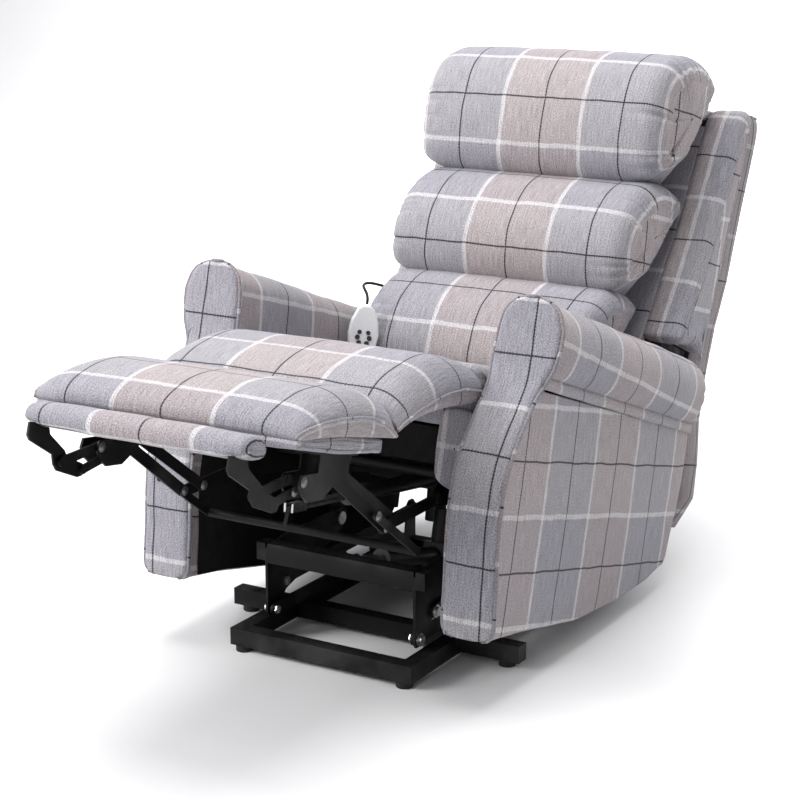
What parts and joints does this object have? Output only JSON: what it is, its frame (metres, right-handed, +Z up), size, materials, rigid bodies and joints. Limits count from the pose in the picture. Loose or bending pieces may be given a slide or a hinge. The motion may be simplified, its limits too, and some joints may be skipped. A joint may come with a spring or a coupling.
{
  "type": "lift recliner chair",
  "caption": "Upholstered roll-arm lift recliner with tilting seat, folding footrest, reclining back, scissor lift base and wired handset.",
  "frame": {"origin": "middle of the overall width and overall depth, on the floor under the feet, in the rest pose (seat tilted back, footrest out)", "axes": "+X to the sitter's left, which is the near side, +Y to the rear, +Z up"},
  "size_m": [0.8, 1.8102, 1.0443],
  "materials": {
    "steel": "satin black powder coat",
    "pin_steel": "plated steel pins and screws",
    "foot_rubber": "matt black rubber",
    "motor_plastic": "moulded motor and control housings",
    "rod_steel": "ground steel rod",
    "timber": "plain softwood",
    "plaid_fabric": "woven wool-look check in soft greys and taupe",
    "black_cloth": "thin non-woven dust cloth",
    "handset_white": "white moulded shell",
    "button_black": "soft dark keys",
    "cable_black": "black sheathed cable"
  },
  "bodies": {
    "base": {"floor_frame": "steel", "floor_feet": "foot_rubber", "floor_pivot_pins": "pin_steel"},
    "lift_lower": {"lift_arm_lower": "steel"},
    "lift_upper": {"lift_arm_upper": "steel", "lift_arm_screws": "pin_steel"},
    "carriage": {"carriage_frame": "steel", "carriage_bolts": "pin_steel"},
    "lift_motor": {"lift_motor_tube": "motor_plastic"},
    "lift_rod": {"lift_motor_rod": "rod_steel"},
    "seat": {"seat_chassis": "steel", "seat_pivot_pins": "pin_steel", "seat_box_frame": "black_cloth", "seat_springs": "pin_steel", "control_box": "motor_plastic", "arm_brackets": "steel", "seat_cushion": "plaid_fabric", "chaise_bridge": "plaid_fabric", "seat_side_cheeks": "plaid_fabric", "arm_right_panel": "plaid_fabric", "arm_right_roll": "plaid_fabric", "arm_right_front": "plaid_fabric", "arm_left_panel": "plaid_fabric", "arm_left_roll": "plaid_fabric", "arm_left_front": "plaid_fabric", "dust_cloths": "black_cloth", "handset_shell": "handset_white", "handset_cable": "cable_black"},
    "leg_base": {"leg_link_base": "steel"},
    "leg_rear": {"leg_link_rear": "steel"},
    "leg_rear_second": {"leg_link_rear_second": "steel"},
    "footrest": {"footrest_frame": "steel", "footrest_board": "plaid_fabric", "footrest_pad": "plaid_fabric"},
    "leg_front": {"leg_link_front": "steel"},
    "leg_front_second": {"leg_link_front_second": "steel"},
    "foot_flap": {"foot_flap_frame": "steel", "foot_flap_pad": "plaid_fabric"},
    "drive_yoke": {"drive_yoke": "steel"},
    "foot_motor": {"footrest_motor_tube": "motor_plastic"},
    "foot_rod": {"footrest_motor_rod": "rod_steel"},
    "back": {"back_frame": "timber", "recline_pivot_pins": "pin_steel", "back_springs": "pin_steel", "back_inner_panel": "plaid_fabric", "wing_right": "plaid_fabric", "wing_left": "plaid_fabric", "back_shell": "plaid_fabric", "back_top_panel": "plaid_fabric", "cushion_lumbar": "plaid_fabric", "cushion_middle": "plaid_fabric", "cushion_head": "plaid_fabric"},
    "back_motor": {"recline_motor_tube": "motor_plastic"},
    "back_rod": {"recline_motor_rod": "rod_steel"},
    "key_lift_up": {"button_lift_up": "button_black"},
    "key_lift_down": {"button_lift_down": "button_black"},
    "key_back_up": {"button_back_up": "button_black"},
    "key_back_down": {"button_back_down": "button_black"},
    "key_legs_up": {"button_legs_up": "button_black"},
    "key_legs_down": {"button_legs_down": "button_black"}
  },
  "joints": [
    {"name": "lift", "type": "hinge", "parent": "base", "child": "lift_lower", "pos_m": [0, 0.13324, 0.063], "axis": [-1, 0, 0], "range_deg": [0, 45]},
    {"name": "tilt", "type": "hinge", "parent": "carriage", "child": "seat", "pos_m": [0, -0.02874, 0.17503], "axis": [1, 0, 0], "range_deg": [0, 14.7]},
    {"name": "recline", "type": "hinge", "parent": "seat", "child": "back", "pos_m": [0, 0.38299, 0.18074], "axis": [-1, 0, 0], "range_deg": [0, 18]},
    {"name": "footrest", "type": "hinge", "parent": "seat", "child": "leg_base", "pos_m": [0, -0.28823, 0.34132], "axis": [1, 0, 0], "range_deg": [0, 60.62], "deforming": ["chaise_bridge"]},
    {"name": "lift_upper_pivot", "type": "hinge", "parent": "base", "child": "lift_upper", "pos_m": [0, 0.27824, 0.11], "axis": [-1, 0, 0], "range_deg": [-0.5, 37.2]},
    {"name": "carriage_pivot", "type": "hinge", "parent": "lift_lower", "child": "carriage", "pos_m": [0, -0.27476, 0.063], "axis": [1, 0, 0], "range_deg": [-0.5, 70.5]},
    {"name": "lift_motor_pivot", "type": "hinge", "parent": "base", "child": "lift_motor", "pos_m": [0, 0.13324, 0.08], "axis": [-1, 0, 0], "range_deg": [-0.5, 37.34]},
    {"name": "lift_motor_stroke", "type": "slide", "parent": "lift_motor", "child": "lift_rod", "axis": [0, -0.9689, 0.2473], "range_m": [-0.001, 0.10521]},
    {"name": "leg_rear_pivot", "type": "hinge", "parent": "leg_base", "child": "leg_rear", "pos_m": [0, -0.47936, 0.34184], "axis": [-1, 0, 0], "range_deg": [-0.5, 132.44]},
    {"name": "footrest_pivot", "type": "hinge", "parent": "leg_rear", "child": "footrest", "pos_m": [0, -0.64855, 0.4772], "axis": [1, 0, 0], "range_deg": [-0.5, 161.81]},
    {"name": "leg_rear_second_pivot", "type": "hinge", "parent": "leg_base", "child": "leg_rear_second", "pos_m": [0, -0.43349, 0.34171], "axis": [-1, 0, 0], "range_deg": [-0.5, 130.78]},
    {"name": "leg_front_pivot", "type": "hinge", "parent": "footrest", "child": "leg_front", "pos_m": [0, -0.73549, 0.48864], "axis": [1, 0, 0], "range_deg": [-0.5, 42.5]},
    {"name": "leg_front_second_pivot", "type": "hinge", "parent": "footrest", "child": "leg_front_second", "pos_m": [0, -0.72264, 0.46666], "axis": [1, 0, 0], "range_deg": [-0.5, 57.48]},
    {"name": "foot_flap_pivot", "type": "hinge", "parent": "leg_front", "child": "foot_flap", "pos_m": [0, -0.83108, 0.48683], "axis": [-1, 0, 0], "range_deg": [-0.5, 23.28]},
    {"name": "drive_yoke_pivot", "type": "hinge", "parent": "leg_rear", "child": "drive_yoke", "pos_m": [0, -0.52214, 0.3758], "axis": [1, 0, 0], "range_deg": [-0.5, 131.81]},
    {"name": "footrest_motor_pivot", "type": "hinge", "parent": "seat", "child": "foot_motor", "pos_m": [0, 0.21754, 0.22001], "axis": [-1, 0, 0], "range_deg": [-0.5, 5.26]},
    {"name": "footrest_motor_stroke", "type": "slide", "parent": "foot_motor", "child": "foot_rod", "axis": [0, -0.9895, 0.1447], "range_m": [-0.138, 0.001]},
    {"name": "recline_motor_pivot", "type": "hinge", "parent": "seat", "child": "back_motor", "pos_m": [0, 0.02256, 0.26495], "axis": [-1, 0, 0], "range_deg": [-0.5, 1.22]},
    {"name": "recline_motor_stroke", "type": "slide", "parent": "back_motor", "child": "back_rod", "axis": [0, 0.8942, -0.4476], "range_m": [-0.02894, 0.001]},
    {"name": "press_lift_up", "type": "slide", "parent": "seat", "child": "key_lift_up", "axis": [-0.6428, 0.741, -0.1944], "range_m": [0, 0.0012]},
    {"name": "press_lift_down", "type": "slide", "parent": "seat", "child": "key_lift_down", "axis": [-0.6428, 0.741, -0.1944], "range_m": [0, 0.0012]},
    {"name": "press_back_up", "type": "slide", "parent": "seat", "child": "key_back_up", "axis": [-0.6428, 0.741, -0.1944], "range_m": [0, 0.0012]},
    {"name": "press_back_down", "type": "slide", "parent": "seat", "child": "key_back_down", "axis": [-0.6428, 0.741, -0.1944], "range_m": [0, 0.0012]},
    {"name": "press_legs_up", "type": "slide", "parent": "seat", "child": "key_legs_up", "axis": [-0.6428, 0.741, -0.1944], "range_m": [0, 0.0012]},
    {"name": "press_legs_down", "type": "slide", "parent": "seat", "child": "key_legs_down", "axis": [-0.6428, 0.741, -0.1944], "range_m": [0, 0.0012]}
  ],
  "couplings": [
    {"joint": "lift_upper_pivot", "follows": "lift", "ratio": 0.81549},
    {"joint": "carriage_pivot", "follows": "lift", "ratio": 1.5556},
    {"joint": "lift_motor_pivot", "follows": "lift", "ratio": 0.81871},
    {"joint": "lift_motor_stroke", "follows": "lift", "m_per_rad": 0.13268},
    {"joint": "leg_rear_pivot", "follows": "footrest", "ratio": 2.1764},
    {"joint": "footrest_pivot", "follows": "footrest", "ratio": 2.661},
    {"joint": "leg_rear_second_pivot", "follows": "footrest", "ratio": 2.149},
    {"joint": "leg_front_pivot", "follows": "footrest", "ratio": 0.69282},
    {"joint": "leg_front_second_pivot", "follows": "footrest", "ratio": 0.94},
    {"joint": "foot_flap_pivot", "follows": "footrest", "ratio": 0.37578},
    {"joint": "drive_yoke_pivot", "follows": "footrest", "ratio": 2.1661},
    {"joint": "footrest_motor_pivot", "follows": "footrest", "ratio": 0.078486},
    {"joint": "footrest_motor_stroke", "follows": "footrest", "m_per_rad": -0.12949},
    {"joint": "recline_motor_pivot", "follows": "recline", "ratio": 0.040133},
    {"joint": "recline_motor_stroke", "follows": "recline", "m_per_rad": -0.088923}
  ]
}
